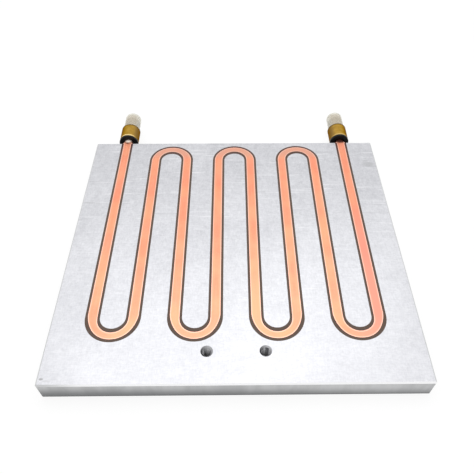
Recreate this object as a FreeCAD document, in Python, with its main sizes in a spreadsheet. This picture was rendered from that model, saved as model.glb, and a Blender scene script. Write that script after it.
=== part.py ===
"""Liquid cooling cold plate: an aluminium plate with one copper serpentine tube.

Frame: +Z up, millimetres.  The origin is the centre of the plate's bottom face.
+X runs across the tube legs and +Y points out of the edge that carries the ports.

The tube is pressed into a milled groove, bonded with epoxy and machined flush with
the plate's top face.  Outside the plate it changes from its pressed section back to
a round one and enters a push-fit connector at each end.
"""
import math
import os
import re

import FreeCAD
import Part
import Sketcher

SHEET_NAME = "Sizes"

# Driving dimensions in millimetres; the counts and the two angles in degrees have no length.
SIZES = {
    # base plate
    "plate_width": 300.0,
    "plate_length": 280.0,
    "plate_thickness": 20.0,
    "edge_break": 1.2,
    # route of the tube
    "leg_count": 8,
    "leg_pitch": 33.4,
    "front_bend_setback": 58.7,
    "back_bend_setback": 29.0,
    # tube
    "tube_diameter": 10.0,
    "tube_wall": 1.0,
    "pressed_width": 11.3,
    "pressed_height": 7.6,
    "pressed_corner": 1.65,
    "bore_corner": 0.65,
    "transition_length": 4.5,
    "stub_axis_drop": 4.7,
    # resin round the tube
    "bond_gap": 0.45,
    "scallop_depth": 0.5,
    "scallop_lead": 0.15,
    "outer_scallop_apex": 0.5,
    "outer_scallop_radius": 19.0,
    "outer_scallop_run": 5.0,
    "inner_scallop_apex": 1.4,
    # tapped mounting holes
    "mount_hole_spacing": 46.0,
    "mount_hole_setback": 27.5,
    "mount_hole_drill": 6.8,
    "mount_hole_depth": 15.0,
    "countersink_diameter": 9.8,
    "countersink_angle": 90.0,
    "drill_point_angle": 118.0,
    # connector body
    "port_standoff": 4.8,
    "body_diameter": 20.4,
    "body_length": 20.0,
    "rim_chamfer": 1.8,
    "shoulder_chamfer": 0.6,
    "thread_diameter": 16.0,
    "thread_length": 16.0,
    "thread_chamfer": 1.0,
    "relief_width": 1.5,
    "relief_depth": 1.0,
    "flow_bore": 8.0,
    "socket_depth": 19.0,
    "socket_clearance": 0.1,
    "seal_seat_diameter": 14.4,
    "seal_seat_length": 2.8,
    "stack_seat_diameter": 16.4,
    # retaining collar
    "collar_diameter": 20.6,
    "collar_flange": 2.2,
    "collar_snout": 4.5,
    "collar_chamfer": 0.6,
    "collar_tube_clearance": 0.2,
    "seat_clearance": 0.1,
    # grip ring, spacer and seal
    "grip_thickness": 0.5,
    "grip_flat_inner": 13.8,
    "grip_tooth_rise": 0.9,
    "grip_clearance": 0.05,
    "grip_slot_width": 1.2,
    "grip_tooth_count": 12,
    "spacer_thickness": 2.0,
    "spacer_bore_clearance": 0.3,
    "seal_corner": 0.9,
    "seal_end_clearance": 0.1,
    # protective cap
    "cap_wall": 0.8,
    "cap_clearance": 0.05,
    "cap_length": 23.5,
    "cap_dome_radius": 3.0,
}

PORTS = {"inlet": -1, "outlet": 1}

document = FreeCAD.newDocument("cold_plate")
sheet = document.addObject("Spreadsheet::Sheet", SHEET_NAME)


def fill_sheet():
    """Write each driving dimension into the sheet as text, under its own alias."""
    for row, (name, value) in enumerate(SIZES.items(), start=1):
        sheet.set("A%d" % row, name)
        sheet.set("B%d" % row, str(value))
        sheet.setAlias("B%d" % row, name)
    document.recompute()


def formula(text):
    """Return an expression in which each size name points at its cell."""
    return re.sub(
        r"[a-z][a-z_]+", lambda word: SHEET_NAME + "." + word[0] if word[0] in SIZES else word[0], text
    )


def value_of(text):
    """Return the present number of an expression in the size names."""
    return float(sheet.evalExpression(formula(text)))


def bind(target, path, text):
    """Tie one property or constraint of an object to the sheet."""
    target.setExpression(path, formula(text))


def new_body(name):
    """Return an empty body."""
    return document.addObject("PartDesign::Body", name)


def origin_feature(body, role):
    """Return an origin plane or axis of a body by its role."""
    return next(item for item in body.Origin.OriginFeatures if item.Role == role)


def new_sketch(body, name, role, offset="0"):
    """Return a sketch on an origin plane of its own body, moved along the plane's normal."""
    sketch = body.newObject("Sketcher::SketchObject", name)
    sketch.AttachmentSupport = (origin_feature(body, role), [""])
    sketch.MapMode = "FlatFace"
    bind(sketch, "AttachmentOffset.Base.z", offset)
    return sketch


def place_point(sketch, curve, end, across, along):
    """Fix a point of a sketch curve at two expressions, measured from the sketch origin."""
    for kind, text in (("DistanceX", across), ("DistanceY", along)):
        constraint = Sketcher.Constraint(kind, -1, 1, curve, end, value_of(text))
        index = sketch.addConstraint(constraint)
        bind(sketch, "Constraints[%d]" % index, text)


def fix_length(sketch, kind, text, *where):
    """Add one dimension to a sketch and tie it to the sheet."""
    index = sketch.addConstraint(Sketcher.Constraint(kind, *where, value_of(text)))
    bind(sketch, "Constraints[%d]" % index, text)


def arc_between(start, end, radius):
    """Return the arc of this radius that turns left from start to end.

    A negative radius turns right.
    """
    chord = end - start
    half = chord.Length / 2
    side = FreeCAD.Vector(-chord.y, chord.x, 0).normalize()
    sagitta_gap = math.sqrt(max(radius * radius - half * half, 0))
    turn = 1 if radius > 0 else -1
    centre = (start + end) / 2 + side * sagitta_gap * turn
    if turn > 0:
        first, last = start, end
    else:
        first, last = end, start
    from_angle = math.atan2(first.y - centre.y, first.x - centre.x)
    to_angle = math.atan2(last.y - centre.y, last.x - centre.x)
    circle = Part.Circle(centre, FreeCAD.Vector(0, 0, 1), abs(radius))
    return Part.ArcOfCircle(circle, from_angle, to_angle)


def closed_outline(sketch, corners):
    """Draw a closed outline through corners given as expressions.

    Each corner is (across, along) or (across, along, radius), where the radius belongs
    to the arc that leaves the corner: positive turns left and a leading minus turns right.
    """
    points = [FreeCAD.Vector(value_of(corner[0]), value_of(corner[1]), 0) for corner in corners]
    starts = []
    ends = []
    for number, corner in enumerate(corners):
        start = points[number]
        end = points[(number + 1) % len(points)]
        if len(corner) == 2:
            curve = sketch.addGeometry(Part.LineSegment(start, end), False)
            starts.append((curve, 1))
            ends.append((curve, 2))
        else:
            radius = value_of(corner[2])
            curve = sketch.addGeometry(arc_between(start, end, radius), False)
            fix_length(sketch, "Radius", "abs(%s)" % corner[2], curve)
            starts.append((curve, 1 if radius > 0 else 2))
            ends.append((curve, 2 if radius > 0 else 1))
    for number, corner in enumerate(corners):
        sketch.addConstraint(Sketcher.Constraint("Coincident", *ends[number - 1], *starts[number]))
        place_point(sketch, *starts[number], corner[0], corner[1])


def check_gain(body, feature, sign):
    """Stop when a feature adds or removes nothing."""
    document.recompute()
    before = feature.BaseFeature.Shape.Volume if feature.BaseFeature else 0.0
    if (body.Shape.Volume - before) * sign <= 0:
        raise RuntimeError(feature.Name + " changes nothing")


# ---------------------------------------------------------------- places shared by pieces

FRONT_BENDS = "(front_bend_setback - plate_length / 2)"
BACK_BENDS = "(plate_length / 2 - back_bend_setback)"
BEND_MIDDLE = "(%d - leg_count / 2 + 1) * leg_pitch"
FLAT_OUTER = "(leg_pitch / 2 + pressed_width / 2 - pressed_corner)"
FLAT_INNER = "(leg_pitch / 2 - pressed_width / 2 + pressed_corner)"
STUB_AXIS = "(plate_thickness - stub_axis_drop)"
PORT_REACH = "((leg_count - 1) / 2 * leg_pitch)"
RIM_FACE = "(plate_length / 2 + port_standoff + collar_flange)"

# How far a cutting form runs past the face that it opens.
OVERRUN = "1"

# Stations along a port's axis, counted from the front rim of the connector body.
GRIP_FRONT = "(collar_snout + seat_clearance)"
GRIP_BACK = "(%s + grip_thickness)" % GRIP_FRONT
STACK_END = "(%s + spacer_thickness)" % GRIP_BACK
SEAL_END = "(%s + seal_seat_length)" % STACK_END
TUBE_END = "(socket_depth - socket_clearance)"


def pad(body, profile, length, name):
    """Pad a sketch by an expression, along the sketch's own normal."""
    feature = body.newObject("PartDesign::Pad", name)
    feature.Profile = profile
    bind(feature, "Length", length)
    return feature


def revolve(body, profile):
    """Turn a profile once round the sketch's upright axis."""
    feature = body.newObject("PartDesign::Revolution", body.Name + "_turned")
    feature.Profile = profile
    feature.ReferenceAxis = (profile, ["V_Axis"])
    feature.Angle = 360
    check_gain(body, feature, 1)
    return feature


# ---------------------------------------------------------------- tube route and sections


def draw_route(body, overrun):
    """Draw the serpentine: straight legs joined by half-turns, open at the back edge."""
    route = new_sketch(body, body.Name + "_route", "XY_Plane", "plate_thickness - pressed_height / 2")
    legs = int(value_of("leg_count"))
    mouth = "plate_length / 2 + (%s)" % overrun
    front = value_of(FRONT_BENDS)
    back = value_of(BACK_BENDS)
    for number in range(legs):
        place = "(%d - (leg_count - 1) / 2) * leg_pitch" % number
        far = value_of(mouth) if number in (0, legs - 1) else back
        near_point = FreeCAD.Vector(value_of(place), front, 0)
        far_point = FreeCAD.Vector(value_of(place), far, 0)
        towards_front = number % 2 == 0
        ends = (far_point, near_point) if towards_front else (near_point, far_point)
        leg = route.addGeometry(Part.LineSegment(*ends), False)
        route.addConstraint(Sketcher.Constraint("Vertical", leg))
        fix_length(route, "DistanceX", place, -1, 1, leg, 1)
    for number in range(legs - 1):
        at_front = number % 2 == 0
        setback = FRONT_BENDS if at_front else BACK_BENDS
        middle = value_of(BEND_MIDDLE % number)
        centre = FreeCAD.Vector(middle, value_of(setback), 0)
        circle = Part.Circle(centre, FreeCAD.Vector(0, 0, 1), value_of("leg_pitch / 2"))
        sweep = (math.pi, 2 * math.pi) if at_front else (0, math.pi)
        bend = route.addGeometry(Part.ArcOfCircle(circle, *sweep), False)
        entry, leave = (1, 2) if at_front else (2, 1)
        route.addConstraint(Sketcher.Constraint("Tangent", number, 2, bend, entry))
        route.addConstraint(Sketcher.Constraint("Tangent", bend, leave, number + 1, 1))
        fix_length(route, "DistanceY", setback, -1, 1, bend, 3)
    fix_length(route, "DistanceY", mouth, -1, 1, 0, 1)
    fix_length(route, "DistanceY", mouth, -1, 1, legs - 1, 2)
    return route


def sweep_along(body, section, route):
    """Sweep a section along the route, kept upright through every bend."""
    pipe = body.newObject("PartDesign::AdditivePipe", body.Name + "_sweep")
    pipe.Profile = section
    pipe.Spine = (route, [""])
    pipe.Mode = "Standard"
    check_gain(body, pipe, 1)
    return pipe


def draw_groove_section(body):
    """Draw the milled groove: straight walls over a ball-nosed bottom, open at the top."""
    half = "(pressed_width / 2 + bond_gap)"
    middle = "(-%s)" % PORT_REACH
    bottom = "(plate_thickness - pressed_height - bond_gap)"
    springing = "%s + %s" % (bottom, half)
    top = "plate_thickness + %s" % OVERRUN
    mouth = "-(plate_length / 2 + %s)" % OVERRUN
    section = new_sketch(body, body.Name + "_section", "XZ_Plane", mouth)
    closed_outline(
        section,
        [
            (middle, bottom, half),
            ("%s + %s" % (middle, half), springing),
            ("%s + %s" % (middle, half), top),
            ("%s - %s" % (middle, half), top),
            ("%s - %s" % (middle, half), springing, half),
        ],
    )
    return section


def draw_pressed_section(body, side, inset, corner):
    """Draw the tube's pressed section at the back edge: flat top over a half-round bottom.

    The inset is zero for the outside of the tube and its wall for the inside.
    """
    half = "(pressed_width / 2 - %s)" % inset
    middle = "(%d * %s)" % (side, PORT_REACH)
    bottom = "(plate_thickness - pressed_height + %s)" % inset
    top = "(plate_thickness - %s)" % inset
    springing = "%s + %s" % (bottom, half)
    shoulder = "%s - %s" % (top, corner)
    section = new_sketch(body, "%s_pressed_%d" % (body.Name, side + 1), "XZ_Plane", "-plate_length / 2")
    closed_outline(
        section,
        [
            (middle, bottom, half),
            ("%s + %s" % (middle, half), springing),
            ("%s + %s" % (middle, half), shoulder, corner),
            ("%s + %s - %s" % (middle, half, corner), top),
            ("%s - %s + %s" % (middle, half, corner), top, corner),
            ("%s - %s" % (middle, half), shoulder),
            ("%s - %s" % (middle, half), springing, half),
        ],
    )
    return section


def draw_round_section(body, side, inset):
    """Draw the round stub section behind the transition.

    The circle is split where the pressed section has its corners, so that the loft
    between the two joins like to like.
    """
    radius = "(tube_diameter / 2 - %s)" % inset
    middle = "(%d * %s)" % (side, PORT_REACH)
    place = "-(plate_length / 2 + transition_length)"
    section = new_sketch(body, "%s_round_%d" % (body.Name, side + 1), "XZ_Plane", place)
    turns = (-90, 0, 30, 60, 120, 150, 180)
    outline = [
        (
            "%s + %s * cos(%d)" % (middle, radius, turn),
            "%s + %s * sin(%d)" % (STUB_AXIS, radius, turn),
            radius,
        )
        for turn in turns
    ]
    closed_outline(section, outline)
    return section


def make_tube_form(name, inset, corner, end_overrun):
    """Build the whole tube as a solid: serpentine, two transitions and two round stubs."""
    body = new_body(name)
    route = draw_route(body, "0")
    pressed = {side: draw_pressed_section(body, side, inset, corner) for side in PORTS.values()}
    rounds = {side: draw_round_section(body, side, inset) for side in PORTS.values()}
    sweep_along(body, pressed[PORTS["inlet"]], route)
    stub_length = "port_standoff + collar_flange + %s - transition_length + %s" % (TUBE_END, end_overrun)
    for side in PORTS.values():
        transition = body.newObject("PartDesign::AdditiveLoft", "%s_transition_%d" % (name, side + 1))
        transition.Profile = pressed[side]
        transition.Sections = [rounds[side]]
        check_gain(body, transition, 1)
        stub = pad(body, rounds[side], stub_length, "%s_stub_%d" % (name, side + 1))
        stub.Reversed = True
        check_gain(body, stub, 1)
    return body


def cut_outer_scallops(body):
    """Cut the scallops where the front bends draw the tube's outer shoulder in.

    The copper's outer edge leaves the groove wall on a wide arc on either side and
    runs round the apex on a tighter one that meets both arcs without a corner.
    """
    sketch = new_sketch(body, body.Name + "_outer_scallops", "XY_Plane", "plate_thickness")
    wall = "(leg_pitch / 2 + pressed_width / 2 + bond_gap)"
    start = "(%s + scallop_lead)" % FLAT_OUTER
    depth = "(%s - outer_scallop_apex - outer_scallop_radius)" % FLAT_OUTER
    rise = "(outer_scallop_run + %s)" % depth
    gap = "(%s - outer_scallop_radius)" % start
    side = "((%s^2 + %s^2 - outer_scallop_radius^2) / (2 * %s))" % (start, rise, gap)
    share = "(outer_scallop_radius / (%s - outer_scallop_radius))" % side
    join_across = "(%s * (%s - %s))" % (share, side, start)
    join_level = "(%s - %s - %s * %s)" % (FRONT_BENDS, depth, share, rise)
    top = "(%s + outer_scallop_run)" % FRONT_BENDS
    for number in range(0, int(value_of("leg_count")) - 1, 2):
        middle = BEND_MIDDLE % number
        closed_outline(
            sketch,
            [
                ("%s - %s" % (middle, wall), top),
                ("%s - %s" % (middle, wall), FRONT_BENDS, wall),
                (middle, "%s - %s" % (FRONT_BENDS, wall), wall),
                ("%s + %s" % (middle, wall), FRONT_BENDS),
                ("%s + %s" % (middle, wall), top),
                ("%s + %s" % (middle, start), top, "-" + side),
                ("%s + %s" % (middle, join_across), join_level, "-outer_scallop_radius"),
                ("%s - %s" % (middle, join_across), join_level, "-" + side),
                ("%s - %s" % (middle, start), top),
            ],
        )
    cut_to_depth(body, sketch)


def cut_inner_scallops(body):
    """Cut the crescents where the copper stands off the inner groove wall in every bend."""
    sketch = new_sketch(body, body.Name + "_inner_scallops", "XY_Plane", "plate_thickness")
    wall = "(leg_pitch / 2 - pressed_width / 2 - bond_gap)"
    edge = "(%s - scallop_lead)" % FLAT_INNER
    shift = "(inner_scallop_apex + scallop_lead)"
    for number in range(int(value_of("leg_count")) - 1):
        middle = BEND_MIDDLE % number
        at_front = number % 2 == 0
        level = FRONT_BENDS if at_front else BACK_BENDS
        way = "-" if at_front else "+"
        near, far = ("-", "+") if at_front else ("+", "-")
        shifted = "%s %s %s" % (level, way, shift)
        closed_outline(
            sketch,
            [
                ("%s %s %s" % (middle, near, edge), level),
                ("%s %s %s" % (middle, near, edge), shifted, edge),
                (middle, "%s %s %s" % (shifted, way, edge), edge),
                ("%s %s %s" % (middle, far, edge), shifted),
                ("%s %s %s" % (middle, far, edge), level),
                ("%s %s %s" % (middle, far, wall), level, "-" + wall),
                (middle, "%s %s %s" % (level, way, wall), "-" + wall),
                ("%s %s %s" % (middle, near, wall), level),
            ],
        )
    cut_to_depth(body, sketch)


def cut_to_depth(body, sketch):
    """Cut a sketch's outlines into the tube's flat top, to be filled with resin."""
    pocket = body.newObject("PartDesign::Pocket", sketch.Name + "_cut")
    pocket.Profile = sketch
    bind(pocket, "Length", "scallop_depth")
    check_gain(body, pocket, -1)


# ---------------------------------------------------------------- plate, tube and resin


def make_plate_blank():
    """Build the plate before its groove: a block with broken edges and two tapped holes."""
    body = new_body("plate_blank")
    outline = new_sketch(body, "plate_outline", "XY_Plane")
    closed_outline(
        outline,
        [
            ("-plate_width / 2", "-plate_length / 2"),
            ("plate_width / 2", "-plate_length / 2"),
            ("plate_width / 2", "plate_length / 2"),
            ("-plate_width / 2", "plate_length / 2"),
        ],
    )
    block = pad(body, outline, "plate_thickness", "plate_block")
    check_gain(body, block, 1)
    chamfer = body.newObject("PartDesign::Chamfer", "plate_edges")
    chamfer.Base = (block, ["Edge%d" % (number + 1) for number in range(len(block.Shape.Edges))])
    bind(chamfer, "Size", "edge_break")
    check_gain(body, chamfer, -1)

    centres = new_sketch(body, "mount_hole_centres", "XY_Plane", "plate_thickness")
    for side in (-1, 1):
        across = "%d * mount_hole_spacing / 2" % side
        along = "mount_hole_setback - plate_length / 2"
        centre = FreeCAD.Vector(value_of(across), value_of(along), 0)
        radius = value_of("mount_hole_drill / 2")
        circle = centres.addGeometry(Part.Circle(centre, FreeCAD.Vector(0, 0, 1), radius), False)
        place_point(centres, circle, 3, across, along)
        fix_length(centres, "Radius", "mount_hole_drill / 2", circle)
    document.recompute()
    holes = body.newObject("PartDesign::Hole", "mount_holes")
    holes.Profile = centres
    holes.ThreadType = "None"
    holes.DepthType = "Dimension"
    holes.DrillPoint = "Angled"
    holes.HoleCutType = "Countersink"
    holes.HoleCutCustomValues = True
    bind(holes, "Diameter", "mount_hole_drill")
    bind(holes, "Depth", "mount_hole_depth")
    bind(holes, "DrillPointAngle", "drill_point_angle")
    bind(holes, "HoleCutDiameter", "countersink_diameter")
    bind(holes, "HoleCutCountersinkAngle", "countersink_angle")
    check_gain(body, holes, -1)
    return body


def boolean(kind, name, base, tool):
    """Join two solids by a Part boolean."""
    result = document.addObject("Part::" + kind, name)
    result.Base = base
    result.Tool = tool
    return result


def make_plate_set():
    """Build the plate, the tube pressed into it and the resin between the two."""
    blank = make_plate_blank()
    groove = new_body("groove_form")
    sweep_along(groove, draw_groove_section(groove), draw_route(groove, OVERRUN))
    tube = make_tube_form("tube_form", "0", "pressed_corner", "0")
    cut_outer_scallops(tube)
    cut_inner_scallops(tube)
    bore = make_tube_form("bore_form", "tube_wall", "bore_corner", OVERRUN)
    filling = boolean("Common", "groove_filling", blank, groove)
    return [
        boolean("Cut", "base_plate", blank, groove),
        boolean("Cut", "coolant_tube", tube, bore),
        boolean("Cut", "thermal_epoxy", filling, tube),
    ]


# ---------------------------------------------------------------- one port


def turned_piece(name, side, outline):
    """Turn a closed outline of (radius, station) corners about a port's axis."""
    body = new_body(name)
    sketch = new_sketch(body, name + "_outline", "XY_Plane")
    closed_outline(sketch, outline)
    revolve(body, sketch)
    bind(body, "Placement.Base.x", "%d * %s" % (side, PORT_REACH))
    bind(body, "Placement.Base.y", RIM_FACE)
    bind(body, "Placement.Base.z", STUB_AXIS)
    return body


def make_connector_body(name, side):
    """Build the brass body: stepped socket in front, flow bore and male thread behind."""
    outside = "body_diameter / 2"
    thread = "thread_diameter / 2"
    root = "(thread_diameter / 2 - relief_depth)"
    tip = "(body_length + thread_length)"
    stack = "stack_seat_diameter / 2"
    seal = "seal_seat_diameter / 2"
    socket = "(tube_diameter / 2 + socket_clearance)"
    return turned_piece(
        name,
        side,
        [
            (stack, "0"),
            (outside + " - rim_chamfer", "0"),
            (outside, "rim_chamfer"),
            (outside, "body_length - shoulder_chamfer"),
            (outside + " - shoulder_chamfer", "body_length"),
            (root, "body_length"),
            (root, "body_length + relief_width"),
            (thread, "body_length + relief_width + relief_depth"),
            (thread, tip + " - thread_chamfer"),
            (thread + " - thread_chamfer", tip),
            ("flow_bore / 2", tip),
            ("flow_bore / 2", "socket_depth"),
            (socket, "socket_depth"),
            (socket, SEAL_END),
            (seal, SEAL_END),
            (seal, STACK_END),
            (stack, STACK_END),
        ],
    )


def make_collar(name, side):
    """Build the collar: a flange over the rim and a snout that holds the stack in its seat."""
    hole = "(tube_diameter / 2 + collar_tube_clearance)"
    snout = "(stack_seat_diameter / 2 - seat_clearance)"
    flange = "collar_diameter / 2"
    return turned_piece(
        name,
        side,
        [
            (hole + " + collar_chamfer", "-collar_flange"),
            (flange + " - collar_chamfer", "-collar_flange"),
            (flange, "collar_chamfer - collar_flange"),
            (flange, "0"),
            (snout, "0"),
            (snout, "collar_snout"),
            (hole, "collar_snout"),
            (hole, "collar_chamfer - collar_flange"),
        ],
    )


def make_grip_ring(name, side):
    """Build the grip ring: a flat rim with sprung teeth that lean along the tube."""
    tip = "(tube_diameter / 2 + grip_clearance)"
    root = "(grip_flat_inner / 2)"
    outside = "(stack_seat_diameter / 2 - seat_clearance)"
    body = turned_piece(
        name,
        side,
        [
            (tip, GRIP_FRONT + " + grip_tooth_rise"),
            (root, GRIP_FRONT),
            (outside, GRIP_FRONT),
            (outside, GRIP_BACK),
            (root, GRIP_BACK),
            (tip, GRIP_BACK + " + grip_tooth_rise"),
        ],
    )
    slot_sketch = new_sketch(body, name + "_slot", "XZ_Plane")
    closed_outline(
        slot_sketch,
        [
            ("-grip_slot_width / 2", "0"),
            ("grip_slot_width / 2", "0"),
            ("grip_slot_width / 2", root),
            ("-grip_slot_width / 2", root),
        ],
    )
    slot = body.newObject("PartDesign::Pocket", name + "_first_slot")
    slot.Profile = slot_sketch
    slot.Type = "ThroughAll"
    slot.Midplane = True
    check_gain(body, slot, -1)
    slots = body.newObject("PartDesign::PolarPattern", name + "_slots")
    slots.Originals = [slot]
    slots.Axis = (origin_feature(body, "Y_Axis"), [""])
    slots.Angle = 360
    bind(slots, "Occurrences", "grip_tooth_count")
    body.Tip = slots
    document.recompute()
    return body


def make_spacer(name, side):
    """Build the spacer: a backing ring, coned in front to clear the teeth."""
    bore = "(tube_diameter / 2 + spacer_bore_clearance)"
    outside = "(stack_seat_diameter / 2 - seat_clearance)"
    return turned_piece(
        name,
        side,
        [
            (bore, GRIP_BACK + " + grip_tooth_rise"),
            ("grip_flat_inner / 2", GRIP_BACK),
            (outside, GRIP_BACK),
            (outside, STACK_END),
            (bore, STACK_END),
        ],
    )


def make_seal(name, side):
    """Build the seal ring as it sits squeezed between the tube and its seat."""
    inner = "tube_diameter / 2"
    outer = "seal_seat_diameter / 2"
    front = STACK_END + " + seal_end_clearance"
    back = SEAL_END + " - seal_end_clearance"
    corner = "seal_corner"
    return turned_piece(
        name,
        side,
        [
            (inner + " + seal_corner", front),
            (outer + " - seal_corner", front, corner),
            (outer, front + " + seal_corner"),
            (outer, back + " - seal_corner", corner),
            (outer + " - seal_corner", back),
            (inner + " + seal_corner", back, corner),
            (inner, back + " - seal_corner"),
            (inner, front + " + seal_corner", corner),
        ],
    )


def make_cap(name, side):
    """Build the push-on cap that covers the thread up to the body's shoulder."""
    inside = "(thread_diameter / 2 + cap_clearance)"
    outside = "(thread_diameter / 2 + cap_clearance + cap_wall)"
    end = "(body_length + cap_length)"
    inner_round = "(cap_dome_radius - cap_wall)"
    return turned_piece(
        name,
        side,
        [
            (inside, "body_length"),
            (outside, "body_length"),
            (outside, end + " - cap_dome_radius", "cap_dome_radius"),
            (outside + " - cap_dome_radius", end),
            ("0", end),
            ("0", end + " - cap_wall"),
            (outside + " - cap_dome_radius", end + " - cap_wall", "-" + inner_round),
            (inside, end + " - cap_dome_radius"),
        ],
    )


PORT_PIECES = {
    "connector_body": make_connector_body,
    "collar": make_collar,
    "grip_ring": make_grip_ring,
    "spacer": make_spacer,
    "seal": make_seal,
    "cap": make_cap,
}


def make_ports():
    """Build every piece of the inlet and the outlet."""
    return [
        make("%s_%s" % (port, piece), side)
        for port, side in PORTS.items()
        for piece, make in PORT_PIECES.items()
    ]


def check_document():
    """Stop when any object of the document failed to compute."""
    document.recompute()
    for item in document.Objects:
        if "Invalid" in item.State or "Error" in item.State:
            raise RuntimeError("%s: %s" % (item.Name, item.State))


def export(pieces):
    """Write each piece to parts/NAME.step once all of them are sound."""
    for piece in pieces:
        if piece.Shape.isNull() or not piece.Shape.isValid():
            raise RuntimeError(piece.Label + " has no sound shape")
    os.makedirs("parts", exist_ok=True)
    for piece in pieces:
        piece.Shape.exportStep("parts/%s.step" % piece.Label)
        print("%-24s solids %d  volume %.1f mm3" % (piece.Label, len(piece.Shape.Solids), piece.Shape.Volume))


fill_sheet()
sub_parts = make_plate_set() + make_ports()
check_document()
export(sub_parts)
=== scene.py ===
"""Dress the liquid cooling cold plate: finishes, thread detail, studio light and camera.

Everything is in metres in the part's own frame: +Z up, +Y out of the edge with the
ports, the origin in the middle of the plate's underside.
"""
import logging
import math
from dataclasses import dataclass, field
from enum import Enum
from typing import Any, Optional, Union

import bmesh
import bpy
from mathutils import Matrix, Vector


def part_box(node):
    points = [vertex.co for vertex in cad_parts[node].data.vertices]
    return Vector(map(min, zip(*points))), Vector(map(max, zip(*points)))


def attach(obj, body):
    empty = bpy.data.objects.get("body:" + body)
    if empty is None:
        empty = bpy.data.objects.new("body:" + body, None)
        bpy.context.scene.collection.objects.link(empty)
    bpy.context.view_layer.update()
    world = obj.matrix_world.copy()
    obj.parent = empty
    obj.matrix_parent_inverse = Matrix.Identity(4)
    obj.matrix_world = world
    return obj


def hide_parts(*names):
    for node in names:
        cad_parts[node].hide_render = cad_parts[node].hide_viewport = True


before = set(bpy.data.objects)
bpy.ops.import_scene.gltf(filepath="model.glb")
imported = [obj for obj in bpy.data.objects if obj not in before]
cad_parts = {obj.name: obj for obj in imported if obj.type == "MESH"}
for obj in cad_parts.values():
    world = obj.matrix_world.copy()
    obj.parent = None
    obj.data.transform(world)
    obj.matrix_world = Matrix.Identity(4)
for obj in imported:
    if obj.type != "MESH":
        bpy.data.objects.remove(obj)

LOG = logging.getLogger("cold_plate")
BODY = "root"
MILLIMETRE = 0.001
SHARP_ANGLE = math.radians(30.0)

Colour = tuple[float, float, float]
Triple = tuple[float, float, float]
Span = tuple[float, float]
Number = Union["Signal", float]


class Port(Enum):
    """The two ends of the coolant circuit."""

    INLET = "inlet"
    OUTLET = "outlet"


@dataclass(frozen=True)
class Texture:
    """Soft random variation: how fine and rough it is, and how it is drawn out.

    The scale is in patches to a metre, and detail is the number of finer layers over
    them. A drawn value below 1 makes grain that runs along that axis. A span gives the
    raw values that become 0 and 1.
    """

    scale: float
    detail: float = 2.0
    rough: float = 0.5
    drawn: Optional[Triple] = None
    span: Optional[Span] = None


class Signal:
    """A number that a shader works out at each point of a surface."""

    def __init__(self, graph: "Graph", socket: bpy.types.NodeSocket) -> None:
        """Wrap one output socket of a graph's node."""
        self.graph = graph
        self.socket = socket

    def maths(self, operation: str, *values: Number) -> "Signal":
        """Join values by one Math node.

        Args:
            operation: The Math node's operation.
            values: Its inputs in order.

        Returns:
            The node's result.
        """
        node = self.graph.node("ShaderNodeMath", {"operation": operation}, dict(enumerate(values)))
        return Signal(self.graph, node.outputs[0])

    def __add__(self, other: Number) -> "Signal":
        """Return self + other."""
        return self.maths("ADD", self, other)

    def __radd__(self, other: float) -> "Signal":
        """Return other + self."""
        return self.maths("ADD", other, self)

    def __sub__(self, other: Number) -> "Signal":
        """Return self - other."""
        return self.maths("SUBTRACT", self, other)

    def __rsub__(self, other: float) -> "Signal":
        """Return other - self."""
        return self.maths("SUBTRACT", other, self)

    def __mul__(self, other: Number) -> "Signal":
        """Return self * other."""
        return self.maths("MULTIPLY", self, other)

    def __rmul__(self, other: float) -> "Signal":
        """Return other * self."""
        return self.maths("MULTIPLY", other, self)

    def __truediv__(self, other: Number) -> "Signal":
        """Return self / other."""
        return self.maths("DIVIDE", self, other)

    def __rtruediv__(self, other: float) -> "Signal":
        """Return other / self."""
        return self.maths("DIVIDE", other, self)

    def __pow__(self, other: Number) -> "Signal":
        """Return self to the power of other."""
        return self.maths("POWER", self, other)

    def __neg__(self) -> "Signal":
        """Return self with its sign changed."""
        return self.maths("MULTIPLY", self, -1.0)

    def __abs__(self) -> "Signal":
        """Return the size of self without its sign."""
        return self.maths("ABSOLUTE", self)

    def fraction(self) -> "Signal":
        """Return what self has over the next lower whole number."""
        return self.maths("FRACT", self)

    def floor(self) -> "Signal":
        """Return the next lower whole number."""
        return self.maths("FLOOR", self)

    def above(self, edge: Number) -> "Signal":
        """Return 1 where self is greater than edge, and otherwise 0."""
        return self.maths("GREATER_THAN", self, edge)

    def greater(self, other: Number) -> "Signal":
        """Return the greater of self and other."""
        return self.maths("MAXIMUM", self, other)

    def less(self, other: Number) -> "Signal":
        """Return the lesser of self and other."""
        return self.maths("MINIMUM", self, other)

    def wave(self) -> "Signal":
        """Return a sine of self from 0 to 1, with one turn for each whole number."""
        return self.maths("SINE", self * math.tau) * 0.5 + 0.5

    def rise(self, low: float, high: float) -> "Signal":
        """Return a smooth step from 0 at low to 1 at high.

        Args:
            low: The value of self that gives 0.
            high: The value of self that gives 1.

        Returns:
            The step.
        """
        settings = {"interpolation_type": "SMOOTHSTEP"}
        values = {"Value": self, "From Min": low, "From Max": high, "To Min": 0.0, "To Max": 1.0}
        node = self.graph.node("ShaderNodeMapRange", settings, values)
        return Signal(self.graph, node.outputs[0])

    def pick(self, where_one: Number, where_zero: Number) -> "Signal":
        """Return where_one where self is 1, and where_zero where it is 0."""
        return self * where_one + (1.0 - self) * where_zero


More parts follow.
